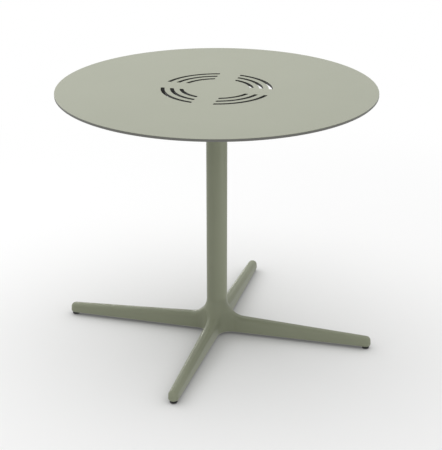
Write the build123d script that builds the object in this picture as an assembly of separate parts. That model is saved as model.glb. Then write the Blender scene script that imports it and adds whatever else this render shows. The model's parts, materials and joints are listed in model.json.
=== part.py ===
from build123d import *
import math
import os

# Round pedestal garden table. Millimetres, +Z up, origin on the floor under the column.
# The four base arms lie along +X, +Y, -X and -Y, and so do the spokes of the top.

# Overall sizes
table_height = 750.0
top_diameter = 900.0
foot_circle_radius = 448.0
arm_count = 4

# Tabletop: a compact laminate board, rounded above and bevelled below
top_thickness = 8.0
top_edge_radius = 1.0
top_lower_bevel = 2.0
slot_width = 11.0
slot_first_radius = 98.0
slot_pitch = 26.25
slot_ring_count = 3
spoke_width = 60.0
slot_corner_radius = 2.0
slot_edge_radius = 0.5
slot_lower_bevel = 0.5

# Column tube
column_diameter = 60.0
column_wall = 3.0
spigot_length = 40.0
spigot_clearance = 0.1
spigot_chamfer = 1.5

# Base casting: widths at the underside, heights above the underside
arm_root_half_width = 20.0
arm_tip_half_width = 15.5
arm_corner_radius = 38.0
arm_root_height = 50.0
arm_tip_height = 29.0
arm_draft = 4.0
arm_rim_radius = 12.0
arm_bottom_radius = 7.0
base_flare_radius = 53.0
base_land = 6.0
casting_wall = 8.0
hub_boss_radius = 44.0
foot_boss_radius = 12.0
rib_count = 3
rib_thickness = 3.0
rib_setback = 4.0

# Top spider: widths at its upper face, heights below its upper face
spider_reach = 220.0
spider_root_half_width = 24.0
spider_tip_half_width = 15.0
spider_corner_radius = 26.0
spider_root_height = 25.0
spider_tip_height = 17.0
spider_draft = 3.0
spider_rim_radius = 4.0
spider_flare_radius = 14.0
spider_land = 3.0

# Rubber strips between spider and top
strip_thickness = 2.0
strip_width = 22.0
strip_inner_radius = 62.0
strip_corner_radius = 6.0
strip_overrun = 11.0

# Screws that hold the top, two to each spider arm
screw_diameter = 6.0
screw_head_diameter = 10.5
screw_head_height = 3.3
screw_head_round = 0.6
screw_socket = 4.0
screw_socket_depth = 2.0
screw_inner_radius = 90.0
screw_thread_clearance = 0.05
screw_hole_clearance = 0.3
screw_tip_gap = 0.6
screw_hole_roof = 2.5
screw_seat_thickness = 7.5
washer_diameter = 12.0
washer_thickness = 1.6
washer_recess_clearance = 1.0

# Tie rod with a nut and a washer at each end
rod_diameter = 12.0
rod_hole_clearance = 0.5
rod_thread_clearance = 0.05
rod_overrun = 3.0
nut_width = 18.0
nut_height = 10.8
nut_chamfer = 1.0
rod_washer_diameter = 24.0
rod_washer_thickness = 2.5
nut_recess_clearance = 5.0
rod_top_gap = 1.7
rod_cap_gap = 2.7

# Plug under the hub
cap_thickness = 2.0
cap_skirt_height = 7.0
cap_skirt_wall = 1.8
cap_clearance = 0.05

# Levelling feet
pad_diameter = 23.0
pad_base_diameter = 20.0
pad_height = 5.0
pad_floor = 1.8
pad_edge_radius = 1.0
swivel_gap = 0.3
stud_diameter = 8.0
stud_tip_setback = 2.0
stud_thread_clearance = 0.05
stud_neck_diameter = 7.0
stud_flange_diameter = 14.0
stud_flange_height = 1.6
stud_collar_height = 2.0
stud_collar_width = 13.0
insert_diameter = 12.0
insert_length = 20.0
insert_clearance = 0.02
insert_hole_relief = 2.0

on_low_end = (Align.CENTER, Align.CENTER, Align.MIN)


def flare_top(hub_radius, flare_radius, root_height, tip_height, reach):
    # Height above the flat side at which a sloping crown has flared into the upright hub.
    slope = math.atan2(root_height - tip_height, reach)
    return root_height - (hub_radius + flare_radius) * math.tan(slope) + flare_radius / math.cos(slope)


# Heights and radii that follow
column_radius = column_diameter / 2
arm_underside = pad_height + swivel_gap + stud_collar_height
top_underside = table_height - top_thickness
spider_face = top_underside - strip_thickness
base_hub_height = base_land + flare_top(
    column_radius, base_flare_radius, arm_root_height, arm_tip_height, foot_circle_radius)
spider_hub_height = spider_land + flare_top(
    column_radius, spider_flare_radius, spider_root_height, spider_tip_height, spider_reach)
column_low = arm_underside + base_hub_height
column_high = spider_face - spider_hub_height
spigot_radius = column_radius - column_wall - spigot_clearance
rod_hole = rod_diameter + 2 * rod_hole_clearance
nut_stack = rod_washer_thickness + nut_height + rod_overrun
nut_recess_diameter = rod_washer_diameter + 2 * nut_recess_clearance
upper_recess_depth = nut_stack + rod_top_gap
lower_recess_depth = nut_stack + rod_cap_gap + cap_skirt_height
upper_seat = spider_face - upper_recess_depth
lower_seat = arm_underside + lower_recess_depth
upper_nut_low = upper_seat + rod_washer_thickness
lower_nut_low = lower_seat - rod_washer_thickness - nut_height
screw_seat = spider_face - screw_seat_thickness
screw_head_plane = screw_seat - washer_thickness
screw_hole_top = table_height - screw_hole_roof
screw_tip = screw_hole_top - screw_tip_gap
stud_tip = arm_underside + insert_length - stud_tip_setback
screw_radii = (screw_inner_radius, spider_reach)
arm_angles = [360 / arm_count * step for step in range(arm_count)]


def cylinder(diameter, low, high):
    return Pos(0, 0, low) * Cylinder(diameter / 2, high - low, align=on_low_end)


def ring(outer_diameter, inner_diameter, low, high):
    return cylinder(outer_diameter, low, high) - cylinder(inner_diameter, low, high)


def around_arms(shape):
    return [Rot(0, 0, angle) * shape for angle in arm_angles]


def at_arm_radius(shape, radius):
    return around_arms(Pos(radius, 0, 0) * shape)


def at_screws(shape):
    return [copy for radius in screw_radii for copy in at_arm_radius(shape, radius)]


def hexagon(width, low, high):
    face = RegularPolygon(width / 2, 6, major_radius=False)
    return Pos(0, 0, low) * extrude(face, high - low)


def star_face(root_half_width, tip_half_width, reach, corner_radius):
    # Four arms whose straight sides run tangent into a round nose about the foot's axis.
    side_angle = math.acos(tip_half_width / math.hypot(root_half_width, reach))
    side_angle -= math.atan2(reach, root_half_width)
    nose_x = reach + tip_half_width * math.sin(side_angle)
    nose_y = tip_half_width * math.cos(side_angle)
    outline = Polyline((nose_x, nose_y), (0, root_half_width), (0, -root_half_width), (nose_x, -nose_y))
    outline += ThreePointArc((nose_x, -nose_y), (reach + tip_half_width, 0), (nose_x, nose_y))
    arm = make_face(outline)
    star = arm.fuse(*around_arms(arm)[1:])
    inner = [v for v in star.vertices() if math.hypot(v.X, v.Y) < reach / 2]
    return fillet(inner, corner_radius)


def crown(hub_radius, flare_radius, root_height, tip_height, reach, outer_radius, hub_height):
    # Turned envelope over the arms: a sloping cone that flares tangent into an upright hub.
    slope = math.atan2(root_height - tip_height, reach)
    flare_r = hub_radius + flare_radius
    flare_z = flare_top(hub_radius, flare_radius, root_height, tip_height, reach)
    cone_angle = 1.5 * math.pi - slope
    middle_angle = (cone_angle + math.pi) / 2

    def on_flare(angle):
        return (flare_r + flare_radius * math.cos(angle), 0, flare_z + flare_radius * math.sin(angle))

    outer_z = root_height - outer_radius * math.tan(slope)
    outline = Polyline((hub_radius, 0, flare_z), (hub_radius, 0, hub_height), (0, 0, hub_height), (0, 0, 0))
    outline += Polyline((0, 0, 0), (outer_radius, 0, 0), (outer_radius, 0, outer_z), on_flare(cone_angle))
    outline += ThreePointArc(on_flare(cone_angle), on_flare(middle_angle), (hub_radius, 0, flare_z))
    return revolve(make_face(outline), Axis.Z)


def bearing(point):
    # Angle about the column, then distance from it, to put edges in a fixed order.
    return (round(math.degrees(math.atan2(point.Y, point.X)), 3), round(math.hypot(point.X, point.Y), 3))


def crown_edges(body):
    # The edges between the drafted side walls and the crown.
    over = ShapeList(f for f in body.faces() if f.geom_type == GeomType.TORUS or f.normal_at().Z > 0.7)
    sides = ShapeList(f for f in body.faces() if abs(f.normal_at().Z) < 0.3) - over
    sides = ShapeList(f for f in sides if f.geom_type != GeomType.CYLINDER)
    return (over.edges() & sides.edges()).sort_by(lambda e: bearing(e.center()))


def save(name, *solids):
    export_step(solids[0] if len(solids) == 1 else Compound(solids), os.path.join("parts", f"{name}.step"))


def slots():
    cut = Sketch()
    for step in range(slot_ring_count):
        radius = slot_first_radius + step * slot_pitch
        band = Circle(radius + slot_width / 2) - Circle(radius - slot_width / 2)
        spoke = Pos(radius, 0) * Rectangle(2 * radius, spoke_width)
        band -= around_arms(spoke)
        cut += fillet(band.vertices(), slot_corner_radius)
    return cut


def tabletop():
    plate = cylinder(top_diameter, top_underside, table_height)
    plate = fillet(plate.edges().filter_by(GeomType.CIRCLE).sort_by(Axis.Z)[-1], top_edge_radius)
    plate = chamfer(plate.edges().filter_by(GeomType.CIRCLE).sort_by(Axis.Z)[0], top_lower_bevel)
    plate -= Pos(0, 0, top_underside) * extrude(slots(), top_thickness)
    upper_face = plate.faces().sort_by(Axis.Z)[-1]
    plate = fillet(upper_face.inner_wires().edges(), slot_edge_radius)
    lower_face = plate.faces().sort_by(Axis.Z)[0]
    plate = chamfer(lower_face.inner_wires().edges(), slot_lower_bevel)
    hole = cylinder(screw_diameter + 2 * screw_thread_clearance, top_underside, screw_hole_top)
    return plate - at_screws(hole)


def tabletop_screw():
    shank = cylinder(screw_diameter, screw_head_plane, screw_tip)
    head_low = screw_head_plane - screw_head_height
    head = cylinder(screw_head_diameter, head_low, screw_head_plane)
    head = fillet(head.edges().sort_by(Axis.Z)[0], screw_head_height * screw_head_round)
    return shank + head - hexagon(screw_socket, head_low, head_low + screw_socket_depth)


def tabletop_washer():
    hole = screw_diameter + 2 * screw_hole_clearance
    return ring(washer_diameter, hole, screw_head_plane, screw_seat)


def spider_strip():
    length = spider_reach + strip_overrun - strip_inner_radius
    face = Pos(strip_inner_radius + length / 2, 0) * RectangleRounded(length, strip_width, strip_corner_radius)
    strip = Pos(0, 0, spider_face) * extrude(face, strip_thickness)
    hole = cylinder(screw_diameter + 2 * screw_hole_clearance, spider_face, top_underside)
    return strip - [Pos(radius, 0, 0) * hole for radius in screw_radii]


def top_spider():
    # Made with its flat face down, then turned over under the top.
    face = star_face(spider_root_half_width, spider_tip_half_width, spider_reach, spider_corner_radius)
    outer_radius = spider_reach + 2 * spider_tip_half_width
    shape = (spider_root_height, spider_tip_height, spider_reach)
    envelope = crown(column_radius, spider_flare_radius, *shape, outer_radius, spider_hub_height)
    body = extrude(face, spider_hub_height, taper=spider_draft) & envelope
    body = fillet(crown_edges(body), spider_rim_radius)
    spigot = cylinder(2 * spigot_radius, spider_hub_height, spider_hub_height + spigot_length)
    body += chamfer(spigot.edges().sort_by(Axis.Z)[-1], spigot_chamfer)
    body -= cylinder(rod_hole, 0, spider_hub_height + spigot_length)
    body -= cylinder(nut_recess_diameter, 0, upper_recess_depth)
    body -= at_screws(cylinder(screw_diameter + 2 * screw_hole_clearance, 0, spider_hub_height))
    recess = cylinder(washer_diameter + 2 * washer_recess_clearance, screw_seat_thickness, spider_hub_height)
    body -= at_screws(recess)
    return Pos(0, 0, spider_face) * Rot(180, 0, 0) * body


def column_tube():
    return ring(column_diameter, column_diameter - 2 * column_wall, column_low, column_high)


def base_cavity():
    # Hollow underside that leaves an even wall, a solid hub, solid feet and cross ribs.
    face = star_face(arm_root_half_width - casting_wall, arm_tip_half_width - casting_wall,
                     foot_circle_radius, arm_corner_radius + casting_wall)
    outer_radius = foot_circle_radius + 2 * arm_tip_half_width
    shape = (arm_root_height - casting_wall, arm_tip_height - casting_wall, foot_circle_radius)
    envelope = crown(column_radius, base_flare_radius, *shape, outer_radius, base_hub_height)
    cavity = extrude(face, base_hub_height, taper=arm_draft) & envelope
    cavity = fillet(crown_edges(cavity), arm_rim_radius - casting_wall)
    cavity -= cylinder(2 * hub_boss_radius, 0, base_hub_height)
    cavity -= at_arm_radius(cylinder(2 * foot_boss_radius, 0, arm_root_height), foot_circle_radius)
    rib = Box(rib_thickness, 2 * arm_root_half_width, base_hub_height, align=on_low_end)
    rib = Pos(0, 0, rib_setback) * rib
    bay = (foot_circle_radius - foot_boss_radius - hub_boss_radius) / (rib_count + 1)
    for step in range(1, rib_count + 1):
        cavity -= at_arm_radius(rib, hub_boss_radius + step * bay)
    return cavity


def base_casting():
    face = star_face(arm_root_half_width, arm_tip_half_width, foot_circle_radius, arm_corner_radius)
    outer_radius = foot_circle_radius + 2 * arm_tip_half_width
    shape = (arm_root_height, arm_tip_height, foot_circle_radius)
    envelope = crown(column_radius, base_flare_radius, *shape, outer_radius, base_hub_height)
    body = extrude(face, base_hub_height, taper=arm_draft) & envelope
    body = fillet(crown_edges(body), arm_rim_radius)
    body = fillet(body.edges().group_by(Axis.Z)[0], arm_bottom_radius)
    body -= base_cavity()
    spigot = cylinder(2 * spigot_radius, base_hub_height, base_hub_height + spigot_length)
    body += chamfer(spigot.edges().sort_by(Axis.Z)[-1], spigot_chamfer)
    body -= cylinder(rod_hole, 0, base_hub_height + spigot_length)
    body -= cylinder(nut_recess_diameter, 0, lower_recess_depth)
    insert_hole = cylinder(insert_diameter + 2 * insert_clearance, 0, insert_length + insert_hole_relief)
    body -= at_arm_radius(insert_hole, foot_circle_radius)
    return Pos(0, 0, arm_underside) * body


def rod_nut(low):
    high = low + nut_height
    blank = cylinder(nut_width / math.cos(math.pi / 6), low, high)
    blank = chamfer(blank.edges().filter_by(GeomType.CIRCLE), nut_chamfer)
    nut = hexagon(nut_width, low, high) & blank
    return nut - cylinder(rod_diameter + 2 * rod_thread_clearance, low, high)


def rod_washer(low):
    return ring(rod_washer_diameter, rod_hole, low, low + rod_washer_thickness)


def tie_rod():
    low = lower_nut_low - rod_overrun
    high = upper_nut_low + nut_height + rod_overrun
    return cylinder(rod_diameter, low, high)


def hub_cap():
    outer = nut_recess_diameter - 2 * cap_clearance
    plate = cylinder(outer, arm_underside, arm_underside + cap_thickness)
    return plate + ring(outer, outer - 2 * cap_skirt_wall, arm_underside, arm_underside + cap_skirt_height)


def foot_insert():
    bore = stud_diameter + 2 * stud_thread_clearance
    return ring(insert_diameter, bore, arm_underside, arm_underside + insert_length)


def foot_stud():
    flange_high = pad_floor + stud_flange_height
    collar_low = arm_underside - stud_collar_height
    stud = cylinder(stud_flange_diameter, pad_floor, flange_high)
    stud += cylinder(stud_neck_diameter, flange_high, collar_low)
    stud += hexagon(stud_collar_width, collar_low, arm_underside)
    return stud + cylinder(stud_diameter, arm_underside, stud_tip)


def foot_pad():
    pad = Cone(pad_base_diameter / 2, pad_diameter / 2, pad_height, align=on_low_end)
    pad = fillet(pad.edges().filter_by(GeomType.CIRCLE), pad_edge_radius)
    lip_low = pad_floor + stud_flange_height + swivel_gap
    pad -= cylinder(stud_flange_diameter + 2 * swivel_gap, pad_floor, lip_low)
    return pad - cylinder(stud_neck_diameter + 2 * swivel_gap, lip_low, pad_height)


def main():
    os.makedirs("parts", exist_ok=True)
    save("tabletop", tabletop())
    save("tabletop_screws", *at_screws(tabletop_screw()))
    save("tabletop_washers", *at_screws(tabletop_washer()))
    save("spider_pads", *around_arms(spider_strip()))
    save("top_spider", top_spider())
    save("column_tube", column_tube())
    save("tie_rod", tie_rod())
    save("upper_nut", rod_nut(upper_nut_low))
    save("upper_washer", rod_washer(upper_seat))
    save("lower_nut", rod_nut(lower_nut_low))
    save("lower_washer", rod_washer(lower_seat - rod_washer_thickness))
    save("base_casting", base_casting())
    save("hub_cap", hub_cap())
    save("foot_inserts", *at_arm_radius(foot_insert(), foot_circle_radius))
    for number, stud in enumerate(at_arm_radius(foot_stud(), foot_circle_radius), 1):
        save(f"foot_stud_{number}", stud)
    for number, pad in enumerate(at_arm_radius(foot_pad(), foot_circle_radius), 1):
        save(f"foot_pad_{number}", pad)


main()
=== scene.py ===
import bpy
import json
import math
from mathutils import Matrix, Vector


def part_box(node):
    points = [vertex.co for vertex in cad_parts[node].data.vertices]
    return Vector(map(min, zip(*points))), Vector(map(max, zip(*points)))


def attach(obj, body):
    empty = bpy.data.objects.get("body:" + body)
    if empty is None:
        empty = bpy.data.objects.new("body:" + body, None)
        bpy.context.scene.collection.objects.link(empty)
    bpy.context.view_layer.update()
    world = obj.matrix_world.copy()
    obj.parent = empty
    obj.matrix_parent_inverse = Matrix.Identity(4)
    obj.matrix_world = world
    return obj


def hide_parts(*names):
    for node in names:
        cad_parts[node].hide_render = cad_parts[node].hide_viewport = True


# Round pedestal garden table: slotted laminate board, sage column and star base on levelling feet
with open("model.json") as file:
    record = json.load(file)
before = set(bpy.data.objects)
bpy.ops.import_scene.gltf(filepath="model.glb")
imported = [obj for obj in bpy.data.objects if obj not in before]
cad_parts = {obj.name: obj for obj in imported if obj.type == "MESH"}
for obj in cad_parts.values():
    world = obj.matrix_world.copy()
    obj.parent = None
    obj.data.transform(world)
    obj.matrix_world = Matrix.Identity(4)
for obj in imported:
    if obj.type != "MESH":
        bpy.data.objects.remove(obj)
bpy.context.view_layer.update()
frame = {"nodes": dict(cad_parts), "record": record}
nodes = frame["nodes"]
mm = 0.001
fullTurn = 2 * math.pi
print("frame loaded:", len(nodes), "nodes")


def hexColour(text):
    # sRGB hex to the linear colour that shaders take
    parts = [int(text[i:i + 2], 16) / 255 for i in (1, 3, 5)]
    return tuple(c / 12.92 if c <= 0.04045 else ((c + 0.055) / 1.055) ** 2.4 for c in parts) + (1.0,)


def addNode(tree, kind, inputs=None, **settings):
    # one node with its settings, and its inputs as values or links
    made = tree.nodes.new(kind)
    for key, value in settings.items():
        setattr(made, key, value)
    for key, value in (inputs or {}).items():
        if isinstance(value, bpy.types.NodeSocket):
            tree.links.new(value, made.inputs[key])
        else:
            made.inputs[key].default_value = value
    return made


def newMaterial(name):
    material = bpy.data.materials.new(name)
    material.use_nodes = True
    material.node_tree.nodes.clear()
    return material, material.node_tree


# Powder coat on aluminium: paint dust melted in an oven. It gives a satin, slightly pebbled skin
# that is even in colour, greys towards grazing angles and never shows metal.
powderCoats = {
    "sage_powder_coat": {"colour": "#868A75", "paleColour": "#8B8F7A", "roughness": (0.40, 0.50)},
    "black_powder_coat": {"colour": "#1F1F1F", "paleColour": "#242423", "roughness": (0.50, 0.62)},
}
coatGrain = {
    "driftSize": 140,      # mm, slow change of shade over a casting
    "pebbleSize": 2.6,     # mm, orange peel, about twice as coarse as the real one so that it shows
    "pebbleHeight": 0.02,  # mm
    "gloss": 0.28,         # a matt powder's skin scatters part of its sheen
}


def makePowderCoat(name):
    s = powderCoats[name]
    material, tree = newMaterial("cured_" + name)
    place = addNode(tree, "ShaderNodeTexCoord").outputs["Object"]
    drift = addNode(tree, "ShaderNodeTexNoise", {
        "Vector": place, "Scale": 1 / (coatGrain["driftSize"] * mm), "Detail": 3})
    pebble = addNode(tree, "ShaderNodeTexNoise", {
        "Vector": place, "Scale": 1 / (coatGrain["pebbleSize"] * mm), "Detail": 1})
    colour = addNode(tree, "ShaderNodeMix", {
        0: drift.outputs["Fac"], 6: hexColour(s["colour"]), 7: hexColour(s["paleColour"])},
        data_type="RGBA")
    rough = addNode(tree, "ShaderNodeMapRange", {
        "Value": drift.outputs["Fac"], "To Min": s["roughness"][0], "To Max": s["roughness"][1]})
    bump = addNode(tree, "ShaderNodeBump", {
        "Height": pebble.outputs["Fac"], "Distance": coatGrain["pebbleHeight"] * mm, "Strength": 1.0})
    skin = addNode(tree, "ShaderNodeBsdfPrincipled", {
        "Base Color": colour.outputs[2], "Roughness": rough.outputs[0], "Normal": bump.outputs[0],
        "Specular IOR Level": coatGrain["gloss"]})
    addNode(tree, "ShaderNodeOutputMaterial", {"Surface": skin.outputs[0]})
    return material


# Compact laminate, face: printed paper under clear melamine, pressed on a finely structured plate.
# It is even in colour, a little glossier than powder coat, with a faint paper cloud.
laminateFace = {
    "colour": "#8B8E7C",
    "paleColour": "#919482",
    "roughness": (0.34, 0.44),
    "ior": 1.5,
    "cloudSize": 220,      # mm
    "pearlSize": 3.0,      # mm, plate structure, drawn about three times as coarse so that it shows
    "pearlHeight": 0.012,  # mm
}


def makeLaminateFace():
    s = laminateFace
    material, tree = newMaterial("pressed_laminate_face")
    place = addNode(tree, "ShaderNodeTexCoord").outputs["Object"]
    cloud = addNode(tree, "ShaderNodeTexNoise", {
        "Vector": place, "Scale": 1 / (s["cloudSize"] * mm), "Detail": 4})
    pearl = addNode(tree, "ShaderNodeTexNoise", {
        "Vector": place, "Scale": 1 / (s["pearlSize"] * mm), "Detail": 1})
    colour = addNode(tree, "ShaderNodeMix", {
        0: cloud.outputs["Fac"], 6: hexColour(s["colour"]), 7: hexColour(s["paleColour"])},
        data_type="RGBA")
    rough = addNode(tree, "ShaderNodeMapRange", {
        "Value": pearl.outputs["Fac"], "To Min": s["roughness"][0], "To Max": s["roughness"][1]})
    bump = addNode(tree, "ShaderNodeBump", {
        "Height": pearl.outputs["Fac"], "Distance": s["pearlHeight"] * mm, "Strength": 1.0})
    skin = addNode(tree, "ShaderNodeBsdfPrincipled", {
        "Base Color": colour.outputs[2], "Roughness": rough.outputs[0], "Normal": bump.outputs[0],
        "IOR": s["ior"]})
    addNode(tree, "ShaderNodeOutputMaterial", {"Surface": skin.outputs[0]})
    return material


# Compact laminate, core: resin-soaked paper, milled. The cut shows faint layers and a half-matt sheen.
# Inside the slots the core carries painted shade, darker than its own colour.
laminateCore = {
    "slotShadeColour": "#2A2A28",   # painted shade: the core inside the narrow slots, darker than its own colour
    "rimColour": "#6F6F6A",    # the core's own colour, seen on the rim
    "rimStart": 300,           # mm from the middle; inside it the slot walls take the painted shade
    "layerContrast": 0.18,
    "roughness": (0.45, 0.60),
    "layerSize": 1.2,          # mm, about five sheets of paper, so that it shows
    "millSize": 5.0,           # mm, chatter along the cut
}


def makeLaminateCore():
    s = laminateCore
    material, tree = newMaterial("milled_laminate_core")
    place = addNode(tree, "ShaderNodeTexCoord").outputs["Object"]
    squeeze = addNode(tree, "ShaderNodeMapping", {
        "Vector": place, "Scale": (1, 1, s["millSize"] / s["layerSize"])})
    layers = addNode(tree, "ShaderNodeTexNoise", {
        "Vector": squeeze.outputs[0], "Scale": 1 / (s["millSize"] * mm), "Detail": 3})
    flat = addNode(tree, "ShaderNodeVectorMath", {0: place, 1: (1, 1, 0)}, operation="MULTIPLY")
    away = addNode(tree, "ShaderNodeVectorMath", {0: flat.outputs[0]}, operation="LENGTH")
    # painted shade: the core's colour turns dark inside this radius, where the slots' walls lie deep in
    # shade
    onRim = addNode(tree, "ShaderNodeMath", {
        0: away.outputs["Value"], 1: s["rimStart"] * mm}, operation="GREATER_THAN")
    tone = addNode(tree, "ShaderNodeMix", {
        0: onRim.outputs[0], 6: hexColour(s["slotShadeColour"]), 7: hexColour(s["rimColour"])},
        data_type="RGBA")
    value = addNode(tree, "ShaderNodeMapRange", {
        "Value": layers.outputs["Fac"], "To Min": 1 - s["layerContrast"], "To Max": 1 + s["layerContrast"]})
    colour = addNode(tree, "ShaderNodeHueSaturation", {
        "Value": value.outputs[0], "Color": tone.outputs[2]})
    rough = addNode(tree, "ShaderNodeMapRange", {
        "Value": layers.outputs["Fac"], "To Min": s["roughness"][0], "To Max": s["roughness"][1]})
    skin = addNode(tree, "ShaderNodeBsdfPrincipled", {
        "Base Color": colour.outputs[0], "Roughness": rough.outputs[0]})
    addNode(tree, "ShaderNodeOutputMaterial", {"Surface": skin.outputs[0]})
    return material


# Zinc-plated turned steel: bright grey metal with fine tool marks round its axis.
zincSteel = {
    "colour": "#C4C7C9",
    "roughness": (0.28, 0.42),
    "markSize": 0.5,      # mm along the axis
    "markStretch": 0.15,  # and drawn out round it
}


def makeZincSteel():
    s = zincSteel
    material, tree = newMaterial("plated_turned_steel")
    place = addNode(tree, "ShaderNodeTexCoord").outputs["Object"]
    stretch = addNode(tree, "ShaderNodeMapping", {
        "Vector": place, "Scale": (s["markStretch"], s["markStretch"], 1.0)})
    marks = addNode(tree, "ShaderNodeTexNoise", {
        "Vector": stretch.outputs[0], "Scale": 1 / (s["markSize"] * mm), "Detail": 2})
    rough = addNode(tree, "ShaderNodeMapRange", {
        "Value": marks.outputs["Fac"], "To Min": s["roughness"][0], "To Max": s["roughness"][1]})
    skin = addNode(tree, "ShaderNodeBsdfPrincipled", {
        "Base Color": hexColour(s["colour"]), "Roughness": rough.outputs[0], "Metallic": 1.0})
    addNode(tree, "ShaderNodeOutputMaterial", {"Surface": skin.outputs[0]})
    return material


# Black moulded plastics: nylon is half matt with a fine spark-eroded grain, rubber is duller and greyer.
# The grain's size and height are in mm.
mouldings = {
    "black_nylon": {"colour": "#1D1D1C", "roughness": (0.42, 0.58), "grainSize": 0.6, "grainHeight": 0.02},
    "black_rubber": {"colour": "#191918", "roughness": (0.70, 0.85), "grainSize": 0.9, "grainHeight": 0.02},
}


def makeMoulding(name):
    s = mouldings[name]
    material, tree = newMaterial("moulded_" + name)
    place = addNode(tree, "ShaderNodeTexCoord").outputs["Object"]
    grain = addNode(tree, "ShaderNodeTexNoise", {
        "Vector": place, "Scale": 1 / (s["grainSize"] * mm), "Detail": 2})
    rough = addNode(tree, "ShaderNodeMapRange", {
        "Value": grain.outputs["Fac"], "To Min": s["roughness"][0], "To Max": s["roughness"][1]})
    bump = addNode(tree, "ShaderNodeBump", {
        "Height": grain.outputs["Fac"], "Distance": s["grainHeight"] * mm, "Strength": 1.0})
    skin = addNode(tree, "ShaderNodeBsdfPrincipled", {
        "Base Color": hexColour(s["colour"]), "Roughness": rough.outputs[0], "Normal": bump.outputs[0]})
    addNode(tree, "ShaderNodeOutputMaterial", {"Surface": skin.outputs[0]})
    return material


# Turned brass: warm yellow metal, dulled a little by air.
brass = {
    "colour": "#B99A5B",
    "dullColour": "#9C8250",
    "roughness": 0.32,
    "tarnishSize": 6,  # mm
}


def makeBrass():
    s = brass
    material, tree = newMaterial("turned_brass")
    place = addNode(tree, "ShaderNodeTexCoord").outputs["Object"]
    tarnish = addNode(tree, "ShaderNodeTexNoise", {
        "Vector": place, "Scale": 1 / (s["tarnishSize"] * mm), "Detail": 3})
    colour = addNode(tree, "ShaderNodeMix", {
        0: tarnish.outputs["Fac"], 6: hexColour(s["colour"]), 7: hexColour(s["dullColour"])},
        data_type="RGBA")
    skin = addNode(tree, "ShaderNodeBsdfPrincipled", {
        "Base Color": colour.outputs[2], "Roughness": s["roughness"], "Metallic": 1.0})
    addNode(tree, "ShaderNodeOutputMaterial", {"Surface": skin.outputs[0]})
    return material


finishes = {
    "sage_laminate": makeLaminateFace(),
    "laminate_core": makeLaminateCore(),
    "sage_powder_coat": makePowderCoat("sage_powder_coat"),
    "black_powder_coat": makePowderCoat("black_powder_coat"),
    "zinc_steel": makeZincSteel(),
    "black_nylon": makeMoulding("black_nylon"),
    "black_rubber": makeMoulding("black_rubber"),
    "brass": makeBrass(),
}
for row in frame["record"]["subparts"]:
    mesh = nodes[row["node"]].data
    mesh.materials.clear()
    mesh.materials.append(finishes[row["material_slot"]])
print("finishes:", ", ".join(finishes))


def newTree(name, sizes):
    # a geometry tree with one named input for each size, and the sockets to build on
    tree = bpy.data.node_groups.new(name, "GeometryNodeTree")
    tree.interface.new_socket("Geometry", in_out="OUTPUT", socket_type="NodeSocketGeometry")
    kinds = {int: "NodeSocketInt", float: "NodeSocketFloat"}
    for size, value in sizes.items():
        kind = kinds.get(type(value), "NodeSocketMaterial")
        tree.interface.new_socket(size, in_out="INPUT", socket_type=kind)
    entry = addNode(tree, "NodeGroupInput")
    return tree, {socket.name: socket for socket in entry.outputs if socket.name}


def addFormulas(tree, value, formulas):
    # one Math node a line: its name, its operation, then earlier names or plain numbers
    for name, operation, *terms in formulas:
        inputs = {i: value.get(term, term) for i, term in enumerate(terms)}
        value[name] = addNode(tree, "ShaderNodeMath", inputs, operation=operation).outputs[0]


def keepSharp(tree, geometry, angle):
    # smooth shading that breaks at edges bent by more than an angle
    bend = addNode(tree, "GeometryNodeInputMeshEdgeAngle")
    sharp = addNode(tree, "FunctionNodeCompare", {
        "A": bend.outputs[0], "B": math.radians(angle)}, operation="GREATER_THAN")
    smooth = addNode(tree, "GeometryNodeSetShadeSmooth", {
        "Geometry": geometry.outputs[0], "Shade Smooth": True})
    return addNode(tree, "GeometryNodeSetShadeSmooth", {
        "Geometry": smooth.outputs[0], "Selection": sharp.outputs[0], "Shade Smooth": False}, domain="EDGE")


def growMesh(name, tree, sizes):
    # runs a tree once and keeps its result as a plain mesh object
    holder = bpy.data.objects.new(name, bpy.data.meshes.new(name))
    bpy.context.scene.collection.objects.link(holder)
    modifier = holder.modifiers.new("grow", "NODES")
    modifier.node_group = tree
    for item in tree.interface.items_tree:
        if item.in_out == "INPUT":
            modifier[item.identifier] = sizes[item.name]
    evaluated = holder.evaluated_get(bpy.context.evaluated_depsgraph_get())
    grown = bpy.data.meshes.new_from_object(evaluated)
    holder.modifiers.remove(modifier)
    grown.materials.pop(index=0)   # the holder's own empty slot
    holder.data = grown
    return holder


# The board: a disc pierced by rings of curved slots, rounded above and bevelled below, sizes in mm
board = {
    "edgeRadius": 1.0,
    "lowerBevel": 2.0,
    "slotWidth": 11.0,
    "firstRadius": 98.0,
    "ringPitch": 26.25,
    "rings": 3,
    "spokes": 4,
    "spokeWidth": 60.0,
    "cornerRadius": 2.0,
    "slotEdgeRadius": 0.5,
    "slotBevel": 0.5,
    "screwHole": 6.1,
    "screwDepth": 5.5,
    "screwRadii": (90.0, 220.0),
    "flatMargin": 0.5,   # strip of flat face that each rounded edge carries with it
    "weldGap": 0.02,     # points closer than this become one
    "arcPoints": 28,     # along each side of a slot
    "cornerSteps": 6,    # in a slot's rounded corner
    "edgeSteps": 4,      # over a rounded upper edge
    "rimPoints": 240,
    "holeSides": 24,
    # the skin covers faces whose normal has a height over the first or under the second
    "wrapSlope": 0.3,
    "underSlope": -0.99,
    "sharpAngle": 30,    # degrees
}


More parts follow.
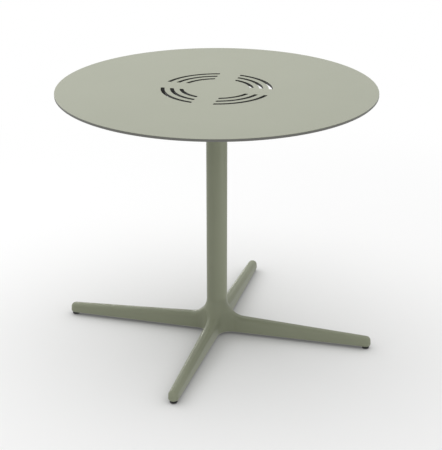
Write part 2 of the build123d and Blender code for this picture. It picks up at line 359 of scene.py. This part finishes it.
def growBoard():
    s = board
    low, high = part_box("tabletop")
    sizes = {
        "Radius": (high[0] - low[0]) / 2, "Thickness": high[2] - low[2], "Top Height": high[2],
        "Edge Radius": s["edgeRadius"] * mm, "Lower Bevel": s["lowerBevel"] * mm,
        "Flat Margin": s["flatMargin"] * mm, "Slot Width": s["slotWidth"] * mm,
        "First Radius": s["firstRadius"] * mm, "Ring Pitch": s["ringPitch"] * mm,
        "Rings": s["rings"], "Spokes": s["spokes"], "Spoke Width": s["spokeWidth"] * mm,
        "Corner Radius": s["cornerRadius"] * mm, "Slot Edge Radius": s["slotEdgeRadius"] * mm,
        "Slot Bevel": s["slotBevel"] * mm, "Screw Hole": s["screwHole"] * mm,
        "Screw Depth": s["screwDepth"] * mm, "Screw Radius": s["screwRadii"][0] * mm,
        "Screw Step": (s["screwRadii"][1] - s["screwRadii"][0]) * mm,
        "Arc Points": s["arcPoints"], "Rim Points": s["rimPoints"],
        "Face": finishes["sage_laminate"], "Core": finishes["laminate_core"],
    }
    tree, value = newTree("slottedBoard", sizes)
    value["Index"] = addNode(tree, "GeometryNodeInputIndex").outputs[0]
    nearEnd = 0.499   # share off an arc's middle that only its end points pass
    # each slot is two arcs of points, out along the outer one and back along the inner one
    formulas = (
        ("Slot Points", "MULTIPLY", "Arc Points", 2),
        ("Slots", "MULTIPLY", "Rings", "Spokes"),
        ("All Points", "MULTIPLY", "Slots", "Slot Points"),
        ("Slot Share", "DIVIDE", "Index", "Slot Points"),
        ("Slot", "FLOOR", "Slot Share", 0),
        ("Step", "MODULO", "Index", "Slot Points"),
        ("Ring", "MODULO", "Slot", "Rings"),
        ("Spoke Share", "DIVIDE", "Slot", "Rings"),
        ("Spoke", "FLOOR", "Spoke Share", 0),
        ("Arc Step", "MODULO", "Step", "Arc Points"),
        ("Arc End", "SUBTRACT", "Arc Points", 1),
        ("Arc Share", "DIVIDE", "Arc Step", "Arc End"),
        ("Outer", "LESS_THAN", "Step", "Arc Points"),
        ("Way", "MULTIPLY_ADD", "Outer", 2, -1),
        ("Middle Share", "SUBTRACT", "Arc Share", 0.5),
        ("Along", "MULTIPLY", "Middle Share", "Way"),
        ("Half Width", "DIVIDE", "Slot Width", 2),
        ("Ring Radius", "MULTIPLY_ADD", "Ring", "Ring Pitch", "First Radius"),
        ("Point Radius", "MULTIPLY_ADD", "Way", "Half Width", "Ring Radius"),
        ("Half Spoke", "DIVIDE", "Spoke Width", 2),
        ("Spoke Sine", "DIVIDE", "Half Spoke", "Point Radius"),
        ("Spoke Angle", "ARCSINE", "Spoke Sine", 0),
        ("Sector", "DIVIDE", fullTurn, "Spokes"),
        ("Sweep", "MULTIPLY_ADD", "Spoke Angle", -2, "Sector"),
        ("Sector Middle", "ADD", "Spoke", 0.5),
        ("Sector Angle", "MULTIPLY", "Sector Middle", "Sector"),
        ("Point Angle", "MULTIPLY_ADD", "Along", "Sweep", "Sector Angle"),
        ("Cosine", "COSINE", "Point Angle", 0),
        ("Sine", "SINE", "Point Angle", 0),
        ("Point X", "MULTIPLY", "Cosine", "Point Radius"),
        ("Point Y", "MULTIPLY", "Sine", "Point Radius"),
        ("Off Middle", "ABSOLUTE", "Middle Share", 0),
        ("Corner", "GREATER_THAN", "Off Middle", nearEnd),
        ("Fillet", "MULTIPLY", "Corner", "Corner Radius"),
        # profiles: out from the curve, and down
        ("Bevel Start", "SUBTRACT", "Thickness", "Lower Bevel"),
        ("Bevel In", "MULTIPLY", "Lower Bevel", -1),
        ("Rim Flat", "ADD", "Edge Radius", "Flat Margin"),
        ("Rim In", "MULTIPLY", "Rim Flat", -1),
        ("Slot Bevel Start", "SUBTRACT", "Thickness", "Slot Bevel"),
        ("Slot Flat", "ADD", "Slot Edge Radius", "Flat Margin"),
        ("At Second", "COMPARE", "Index", 1, 0.1),
        ("At Third", "COMPARE", "Index", 2, 0.1),
        ("Rim Round", "MULTIPLY", "At Second", "Edge Radius"),
        ("Slot Round", "MULTIPLY", "At Third", "Slot Edge Radius"),
        # screw holes, two to each spoke
        ("Screws", "MULTIPLY", "Spokes", 2),
        ("Outer Screw", "MODULO", "Index", 2),
        ("Screw Reach", "MULTIPLY_ADD", "Outer Screw", "Screw Step", "Screw Radius"),
        ("Screw Share", "DIVIDE", "Index", 2),
        ("Screw Spoke", "FLOOR", "Screw Share", 0),
        ("Screw Angle", "MULTIPLY", "Screw Spoke", "Sector"),
        ("Screw Cosine", "COSINE", "Screw Angle", 0),
        ("Screw Sine", "SINE", "Screw Angle", 0),
        ("Screw X", "MULTIPLY", "Screw Cosine", "Screw Reach"),
        ("Screw Y", "MULTIPLY", "Screw Sine", "Screw Reach"),
        ("Half Hole", "DIVIDE", "Screw Hole", 2),
        ("Half Depth", "DIVIDE", "Screw Depth", 2),
        ("Hole Middle", "SUBTRACT", "Half Depth", "Thickness"),
        ("Under", "MULTIPLY", "Thickness", -1),
        ("Half Way", "DIVIDE", "Under", 2),
    )
    addFormulas(tree, value, formulas)

    # outlines of the slots and of the rim, counterclockwise
    spot = addNode(tree, "ShaderNodeCombineXYZ", {"X": value["Point X"], "Y": value["Point Y"]})
    points = addNode(tree, "GeometryNodePoints", {
        "Count": value["All Points"], "Position": spot.outputs[0]})
    outline = addNode(tree, "GeometryNodePointsToCurves", {
        "Points": points.outputs[0], "Curve Group ID": value["Slot"]})
    outline = addNode(tree, "GeometryNodeSetSplineCyclic", {
        "Geometry": outline.outputs[0], "Cyclic": True})
    outline = addNode(tree, "GeometryNodeFilletCurve", {
        "Curve": outline.outputs[0], "Radius": value["Fillet"], "Count": s["cornerSteps"]}, mode="POLY")
    circle = addNode(tree, "GeometryNodeCurvePrimitiveCircle", {
        "Resolution": value["Rim Points"], "Radius": value["Radius"]})
    # wall profiles: the rim from its face down, a slot from below up, so that both sweeps face the open air
    walls = []
    profiles = (
        (circle, "Rim Round", (("Rim In", 0), (0, 0), (0, "Bevel Start"), ("Bevel In", "Thickness"))),
        (outline, "Slot Round",
         (("Slot Bevel", "Thickness"), (0, "Slot Bevel Start"), (0, 0), ("Slot Flat", 0))),
    )
    for path, rounding, corners in profiles:
        spots = {}
        for i, (out, down) in enumerate(corners, 1):
            corner = addNode(tree, "ShaderNodeCombineXYZ", {
                "X": value.get(out, out), "Y": value.get(down, down)})
            spots[f"Point {i}"] = corner.outputs[0]
        profile = addNode(tree, "GeometryNodeCurvePrimitiveQuadrilateral", spots, mode="POINTS")
        profile = addNode(tree, "GeometryNodeSetSplineCyclic", {
            "Geometry": profile.outputs[0], "Cyclic": False})
        profile = addNode(tree, "GeometryNodeFilletCurve", {
            "Curve": profile.outputs[0], "Radius": value[rounding], "Count": s["edgeSteps"]}, mode="POLY")
        upright = addNode(tree, "GeometryNodeSetCurveNormal", {"Curve": path.outputs[0]}, mode="Z_UP")
        sweep = addNode(tree, "GeometryNodeCurveToMesh", {
            "Curve": upright.outputs[0], "Profile Curve": profile.outputs[0]})
        walls.append(sweep.outputs[0])
    # blind screw holes from below
    drill = addNode(tree, "GeometryNodeMeshCylinder", {
        "Vertices": s["holeSides"], "Radius": value["Half Hole"], "Depth": value["Screw Depth"]},
        fill_type="NGON")
    mouth = addNode(tree, "GeometryNodeDeleteGeometry", {
        "Geometry": drill.outputs["Mesh"], "Selection": drill.outputs["Bottom"]},
        domain="FACE", mode="ONLY_FACE")
    hole = addNode(tree, "GeometryNodeFlipFaces", {"Mesh": mouth.outputs[0]})
    spot = addNode(tree, "ShaderNodeCombineXYZ", {
        "X": value["Screw X"], "Y": value["Screw Y"], "Z": value["Hole Middle"]})
    spots = addNode(tree, "GeometryNodePoints", {"Count": value["Screws"], "Position": spot.outputs[0]})
    holes = addNode(tree, "GeometryNodeInstanceOnPoints", {
        "Points": spots.outputs[0], "Instance": hole.outputs[0]})
    holes = addNode(tree, "GeometryNodeRealizeInstances", {"Geometry": holes.outputs[0]})
    walls.append(holes.outputs[0])
    joined = addNode(tree, "GeometryNodeJoinGeometry")
    for wall in walls:
        tree.links.new(wall, joined.inputs[0])
    # the two faces fill the walls' open edges
    place = addNode(tree, "GeometryNodeInputPosition")
    height = addNode(tree, "ShaderNodeSeparateXYZ", {0: place.outputs[0]})
    levels = {"A": height.outputs["Z"], "B": value["Half Way"]}
    upper = addNode(tree, "FunctionNodeCompare", levels, operation="GREATER_THAN")
    lower = addNode(tree, "FunctionNodeCompare", levels, operation="LESS_THAN")
    beside = addNode(tree, "GeometryNodeInputMeshEdgeNeighbors")
    opened = addNode(tree, "FunctionNodeCompare", {
        "A": beside.outputs[0], "B": 1.0, "Epsilon": 0.1}, operation="EQUAL")
    down = addNode(tree, "ShaderNodeCombineXYZ", {"Z": value["Under"]})
    pieces = [joined.outputs[0]]
    for side in (upper, lower):
        edge = addNode(tree, "FunctionNodeBooleanMath", {
            0: side.outputs[0], 1: opened.outputs[0]}, operation="AND")
        loops = addNode(tree, "GeometryNodeMeshToCurve", {
            "Mesh": joined.outputs[0], "Selection": edge.outputs[0]})
        filled = addNode(tree, "GeometryNodeFillCurve", {"Curve": loops.outputs[0]}, mode="TRIANGLES")
        if side is lower:
            filled = addNode(tree, "GeometryNodeFlipFaces", {"Mesh": filled.outputs[0]})
            filled = addNode(tree, "GeometryNodeTransform", {
                "Geometry": filled.outputs[0], "Translation": down.outputs[0]})
        pieces.append(filled.outputs[0])
    whole = addNode(tree, "GeometryNodeJoinGeometry")
    for piece in pieces:
        tree.links.new(piece, whole.inputs[0])
    whole = addNode(tree, "GeometryNodeMergeByDistance", {
        "Geometry": whole.outputs[0], "Distance": s["weldGap"] * mm})
    # the skin covers both faces and wraps over the rounded upper edge, and the bevels keep sharp edges
    facing = addNode(tree, "GeometryNodeInputNormal")
    facing = addNode(tree, "ShaderNodeSeparateXYZ", {0: facing.outputs[0]})
    over = addNode(tree, "FunctionNodeCompare", {
        "A": facing.outputs["Z"], "B": s["wrapSlope"]}, operation="GREATER_THAN")
    below = addNode(tree, "FunctionNodeCompare", {
        "A": facing.outputs["Z"], "B": s["underSlope"]}, operation="LESS_THAN")
    flat = addNode(tree, "FunctionNodeBooleanMath", {
        0: over.outputs[0], 1: below.outputs[0]}, operation="OR")
    whole = keepSharp(tree, whole, s["sharpAngle"])
    up = addNode(tree, "ShaderNodeCombineXYZ", {"Z": value["Top Height"]})
    whole = addNode(tree, "GeometryNodeTransform", {
        "Geometry": whole.outputs[0], "Translation": up.outputs[0]})
    whole = addNode(tree, "GeometryNodeRealizeInstances", {"Geometry": whole.outputs[0]})
    whole = addNode(tree, "GeometryNodeSetMaterial", {
        "Geometry": whole.outputs[0], "Material": value["Core"]})
    whole = addNode(tree, "GeometryNodeSetMaterial", {
        "Geometry": whole.outputs[0], "Selection": flat.outputs[0], "Material": value["Face"]})
    addNode(tree, "NodeGroupOutput", {0: whole.outputs[0]})
    made = growMesh("slotted_board", tree, sizes)
    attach(made, "table")
    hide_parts("tabletop")
    return made


grown = growBoard()
print("board:", len(grown.data.polygons), "faces")


# Levelling studs: a swivel flange, a neck, a hexagon collar and an M8 thread in one skin, sizes in mm
stud = {
    "count": 4,
    "flangeRadius": 7.0,
    "flangeHeight": 1.6,
    "neckRadius": 3.5,
    "collarWidth": 13.0,
    "collarHeight": 2.0,
    "crestRadius": 4.0,
    "grooveDepth": 0.65,
    "pitch": 1.25,
    "tipChamfer": 0.8,
    "columns": 48,       # round the axis
    "threadRows": 115,   # steps up the thread
    "collarSides": 6,
    "weldGap": 0.01,
    "sharpAngle": 30,    # degrees
}


def makeStudTree(sizes):
    # a grid rolled round an axis: its rows climb the profile, and the thread's rows swing in and out
    tree, value = newTree("levellingStud", sizes)
    radii = ("Nothing", "Flange Radius", "Flange Radius", "Neck Radius", "Neck Radius",
             "Collar Radius", "Collar Radius", "Upper Radius")
    levels = ("Low", "Low", "Flange Top", "Flange Top", "Collar Low",
              "Collar Low", "Collar Top", "Upper Level")
    lowerRows = len(radii) - 1   # below the thread
    pastEnd = 1.001              # share of the thread's climb that only the closing row passes
    side = fullTurn / stud["collarSides"]
    addFormulas(tree, value, (
        # the thread's steps need one row more, and another closes the tip
        ("Rows", "ADD", "Thread Rows", lowerRows + 2),
        ("Across", "ADD", "Columns", 1),
    ))
    sheet = addNode(tree, "GeometryNodeMeshGrid", {
        "Size X": 1.0, "Size Y": 1.0, "Vertices X": value["Across"], "Vertices Y": value["Rows"]})
    place = addNode(tree, "ShaderNodeSeparateXYZ", {
        0: addNode(tree, "GeometryNodeInputPosition").outputs[0]})
    value["Sheet X"], value["Sheet Y"] = place.outputs["X"], place.outputs["Y"]
    addFormulas(tree, value, (
        ("Share", "ADD", "Sheet X", 0.5),
        ("Last Row", "SUBTRACT", "Rows", 1),
        ("Row Share", "ADD", "Sheet Y", 0.5),
        ("Row Place", "MULTIPLY", "Row Share", "Last Row"),
        ("Row", "ROUND", "Row Place", 0),
        ("Turn", "MULTIPLY", "Share", fullTurn),
        ("Angle", "ADD", "Turn", "Bearing"),
        # hexagon collar
        ("In Side", "MODULO", "Turn", side),
        ("Off Flat", "SUBTRACT", "In Side", side / 2),
        ("Flat Cosine", "COSINE", "Off Flat", 0),
        ("Half Collar", "DIVIDE", "Collar Width", 2),
        ("Collar Radius", "DIVIDE", "Half Collar", "Flat Cosine"),
        # thread with a bevelled tip, and one more row that closes it
        ("Thread Row", "SUBTRACT", "Row", lowerRows),
        ("Climb", "DIVIDE", "Thread Row", "Thread Rows"),
        ("Capped Climb", "MINIMUM", "Climb", 1),
        ("Thread Length", "SUBTRACT", "Tip Height", "Collar Top"),
        ("Height", "MULTIPLY", "Capped Climb", "Thread Length"),
        ("Turns", "DIVIDE", "Height", "Pitch"),
        ("Phase", "SUBTRACT", "Turns", "Share"),
        ("Swing", "PINGPONG", "Phase", 0.5),
        ("Full Groove", "MULTIPLY", "Groove Depth", 2),
        ("Groove", "MULTIPLY", "Swing", "Full Groove"),
        ("Thread Radius", "SUBTRACT", "Crest Radius", "Groove"),
        ("Below Tip", "SUBTRACT", "Thread Length", "Height"),
        ("Tip Radius", "SUBTRACT", "Crest Radius", "Tip Chamfer"),
        ("Bevel Radius", "ADD", "Tip Radius", "Below Tip"),
        ("Shank Radius", "MINIMUM", "Thread Radius", "Bevel Radius"),
        ("On Shank", "LESS_THAN", "Climb", pastEnd),
        ("Upper Radius", "MULTIPLY", "Shank Radius", "On Shank"),
        ("Upper Level", "ADD", "Height", "Collar Top"),
        ("Flange Top", "ADD", "Low", "Flange Height"),
        ("Collar Low", "SUBTRACT", "Collar Top", "Collar Height"),
        ("Corner", "MINIMUM", "Row", lowerRows),
        ("Cosine", "COSINE", "Angle", 0),
        ("Sine", "SINE", "Angle", 0),
        ("Nothing", "MULTIPLY", "Low", 0),
    ))
    for name, corners in (("Radius", radii), ("Level", levels)):
        pick = addNode(tree, "GeometryNodeIndexSwitch", data_type="FLOAT")
        for _ in corners[2:]:   # a new switch has two items
            pick.index_switch_items.new()
        for i, corner in enumerate(("Corner",) + corners):
            tree.links.new(value[corner], pick.inputs[i])
        value[name] = pick.outputs[0]
    addFormulas(tree, value, (
        ("X", "MULTIPLY_ADD", "Cosine", "Radius", "Place X"),
        ("Y", "MULTIPLY_ADD", "Sine", "Radius", "Place Y"),
    ))
    spot = addNode(tree, "ShaderNodeCombineXYZ", {"X": value["X"], "Y": value["Y"], "Z": value["Level"]})
    rolled = addNode(tree, "GeometryNodeSetPosition", {
        "Geometry": sheet.outputs[0], "Position": spot.outputs[0]})
    rolled = addNode(tree, "GeometryNodeMergeByDistance", {
        "Geometry": rolled.outputs[0], "Distance": stud["weldGap"] * mm})
    rolled = keepSharp(tree, rolled, stud["sharpAngle"])
    rolled = addNode(tree, "GeometryNodeRealizeInstances", {"Geometry": rolled.outputs[0]})
    rolled = addNode(tree, "GeometryNodeSetMaterial", {
        "Geometry": rolled.outputs[0], "Material": value["Finish"]})
    addNode(tree, "NodeGroupOutput", {0: rolled.outputs[0]})
    return tree


def growStuds():
    s = stud
    tree = None
    for number in range(1, s["count"] + 1):
        low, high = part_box(f"foot_stud_{number}")
        sizes = {
            "Place X": (low[0] + high[0]) / 2, "Place Y": (low[1] + high[1]) / 2,
            "Bearing": fullTurn / s["count"] * (number - 1), "Low": low[2], "Tip Height": high[2],
            "Collar Top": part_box("base_casting")[0][2], "Collar Width": s["collarWidth"] * mm,
            "Collar Height": s["collarHeight"] * mm, "Flange Radius": s["flangeRadius"] * mm,
            "Flange Height": s["flangeHeight"] * mm, "Neck Radius": s["neckRadius"] * mm,
            "Crest Radius": s["crestRadius"] * mm, "Groove Depth": s["grooveDepth"] * mm,
            "Pitch": s["pitch"] * mm, "Tip Chamfer": s["tipChamfer"] * mm,
            "Columns": s["columns"], "Thread Rows": s["threadRows"],
            "Finish": finishes["zinc_steel"],
        }
        tree = tree or makeStudTree(sizes)
        made = growMesh(f"levelling_stud_{number}", tree, sizes)
        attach(made, f"stud_{number}")
        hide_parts(f"foot_stud_{number}")
    return made


threaded = growStuds()
print("levelling studs:", len(threaded.data.polygons), "faces each")


# Studio: a floor that fades to plain white away from the table, and a soft sky that is brightest overhead
studio = {
    "floorColour": "#D9D9D9",
    "floorHalf": 9.0,      # m
    "fadeStart": 0.75,     # m from the column
    "fadeEnd": 2.2,
    "floorGlow": 0.21,     # the floor is lit from below too, so its shadows stay pale
    "contactReach": 0.24,  # m, extra shade on the floor close to the arms
    "contactShade": 0.65,
    "contactSamples": 12,
    "horizon": 0.24,       # strength of the sky at eye level
    "zenith": 1.00,        # and overhead
}


def addFloor():
    s = studio
    half = s["floorHalf"]
    mesh = bpy.data.meshes.new("floor")
    corners = [(-half, -half, 0), (half, -half, 0), (half, half, 0), (-half, half, 0)]
    mesh.from_pydata(corners, [], [(0, 1, 2, 3)])
    floor = bpy.data.objects.new("floor", mesh)
    bpy.context.scene.collection.objects.link(floor)
    material, tree = newMaterial("studio_floor")
    place = addNode(tree, "ShaderNodeTexCoord").outputs["Object"]
    away = addNode(tree, "ShaderNodeVectorMath", {0: place}, operation="LENGTH")
    fade = addNode(tree, "ShaderNodeMapRange", {
        "Value": away.outputs["Value"], "From Min": s["fadeStart"], "From Max": s["fadeEnd"]},
        interpolation_type="SMOOTHSTEP")
    rays = addNode(tree, "ShaderNodeLightPath")
    share = addNode(tree, "ShaderNodeMath", {
        0: fade.outputs[0], 1: rays.outputs["Is Camera Ray"]}, operation="MULTIPLY")
    for kind in ("Is Glossy Ray", "Is Transmission Ray"):
        share = addNode(tree, "ShaderNodeMath", {
            0: share.outputs[0], 1: rays.outputs[kind]}, operation="MAXIMUM")
    contact = addNode(tree, "ShaderNodeAmbientOcclusion", {"Distance": s["contactReach"]},
                      samples=s["contactSamples"])
    shade = addNode(tree, "ShaderNodeMapRange", {
        "Value": contact.outputs["AO"], "To Min": 1 - s["contactShade"], "To Max": 1.0})
    tone = addNode(tree, "ShaderNodeMix", {
        0: shade.outputs[0], 6: (0, 0, 0, 1), 7: hexColour(s["floorColour"])}, data_type="RGBA")
    under = addNode(tree, "ShaderNodeMath", {
        0: shade.outputs[0], 1: s["floorGlow"]}, operation="MULTIPLY")
    paint = addNode(tree, "ShaderNodeBsdfDiffuse", {"Color": tone.outputs[2]})
    glow = addNode(tree, "ShaderNodeEmission", {"Strength": under.outputs[0]})
    lit = addNode(tree, "ShaderNodeAddShader", {0: paint.outputs[0], 1: glow.outputs[0]})
    white = addNode(tree, "ShaderNodeEmission", {"Strength": 1.0})
    above = addNode(tree, "ShaderNodeMixShader", {
        0: share.outputs[0], 1: lit.outputs[0], 2: white.outputs[0]})
    # clear from below, so that the table's underside can be looked at
    side = addNode(tree, "ShaderNodeNewGeometry")
    clear = addNode(tree, "ShaderNodeBsdfTransparent")
    both = addNode(tree, "ShaderNodeMixShader", {
        0: side.outputs["Backfacing"], 1: above.outputs[0], 2: clear.outputs[0]})
    addNode(tree, "ShaderNodeOutputMaterial", {"Surface": both.outputs[0]})
    mesh.materials.append(material)


def addWorld():
    world = bpy.data.worlds.new("studio")
    bpy.context.scene.world = world
    world.use_nodes = True
    tree = world.node_tree
    tree.nodes.clear()
    way = addNode(tree, "ShaderNodeSeparateXYZ", {
        0: addNode(tree, "ShaderNodeTexCoord").outputs["Generated"]})
    dome = addNode(tree, "ShaderNodeMapRange", {
        "Value": way.outputs["Z"], "To Min": studio["horizon"], "To Max": studio["zenith"]})
    rays = addNode(tree, "ShaderNodeLightPath")
    seen = rays.outputs["Is Camera Ray"]
    for kind in ("Is Glossy Ray", "Is Transmission Ray"):
        seen = addNode(tree, "ShaderNodeMath", {
            0: seen, 1: rays.outputs[kind]}, operation="MAXIMUM").outputs[0]
    strength = addNode(tree, "ShaderNodeMix", {0: seen, 2: dome.outputs[0], 3: 1.0})
    sky = addNode(tree, "ShaderNodeBackground", {"Color": (1, 1, 1, 1), "Strength": strength.outputs[0]})
    addNode(tree, "ShaderNodeOutputWorld", {"Surface": sky.outputs[0]})


# place, aim and size in metres, power in watts; the small lamps are weak and each lights one piece alone
softboxes = {
    "overhead": {"place": (0.0, 0.3, 3.2), "aim": (0, 0, 0.7), "size": (3.0, 3.0), "power": 37},
    "leftHigh": {"place": (-2.2, 0.8, 2.4), "aim": (0, 0, 0.6), "size": (1.6, 1.6), "power": 14},
    "backLeft": {"place": (-3.2, 2.7, 1.3), "aim": (0, 0, 0.7), "size": (2.6, 2.2), "power": 12},
    # soft line down the column
    "columnLine": {"place": (1.12, -0.30, 0.14), "aim": (0, 0, 0.45), "size": (0.5, 0.22), "power": 2.4,
                   "onlyOn": "column_tube"},
    # thin glints on the arms' shoulders, and a fill for their flanks
    "shoulderLine": {"place": (-1.3, 2.4, 0.45), "aim": (0, 0, 0.05), "size": (0.8, 0.35), "power": 6.5,
                     "onlyOn": "base_casting"},
    "flankFill": {"place": (0.6, -2.2, 0.3), "aim": (0, 0, 0.05), "size": (1.2, 0.4), "power": 3.0,
                  "onlyOn": "base_casting"},
}


def addSoftboxes():
    for name, s in softboxes.items():
        light = bpy.data.lights.new(name, "AREA")
        light.shape = "RECTANGLE"
        light.size, light.size_y = s["size"]
        light.energy = s["power"]
        lamp = bpy.data.objects.new(name, light)
        lamp.location = s["place"]
        lamp.rotation_euler = (Vector(s["aim"]) - Vector(s["place"])).to_track_quat("-Z", "Y").to_euler()
        lamp.visible_camera = False
        if "onlyOn" in s:
            lit = bpy.data.collections.new(name + "_lights")
            lit.objects.link(nodes[s["onlyOn"]])
            lamp.light_linking.receiver_collection = lit
        bpy.context.scene.collection.objects.link(lamp)


# found by fitting the outlines of the top, column and feet; the lens is for a 36 mm wide picture
camera = {
    "place": (0.91271, -3.37654, 1.75848),
    "turn": (67.9158, 0.0, 14.9294),
    "lens": 104.056,
    "sensor": 36.0,
}


def addCamera():
    lens = bpy.data.cameras.new("camera")
    lens.lens = camera["lens"]
    lens.sensor_width = camera["sensor"]
    eye = bpy.data.objects.new("camera", lens)
    eye.location = camera["place"]
    eye.rotation_euler = [math.radians(a) for a in camera["turn"]]
    bpy.context.scene.collection.objects.link(eye)
    bpy.context.scene.camera = eye


addFloor()
addWorld()
addSoftboxes()
addCamera()
bpy.context.scene.view_settings.view_transform = "Standard"
print("studio ready")
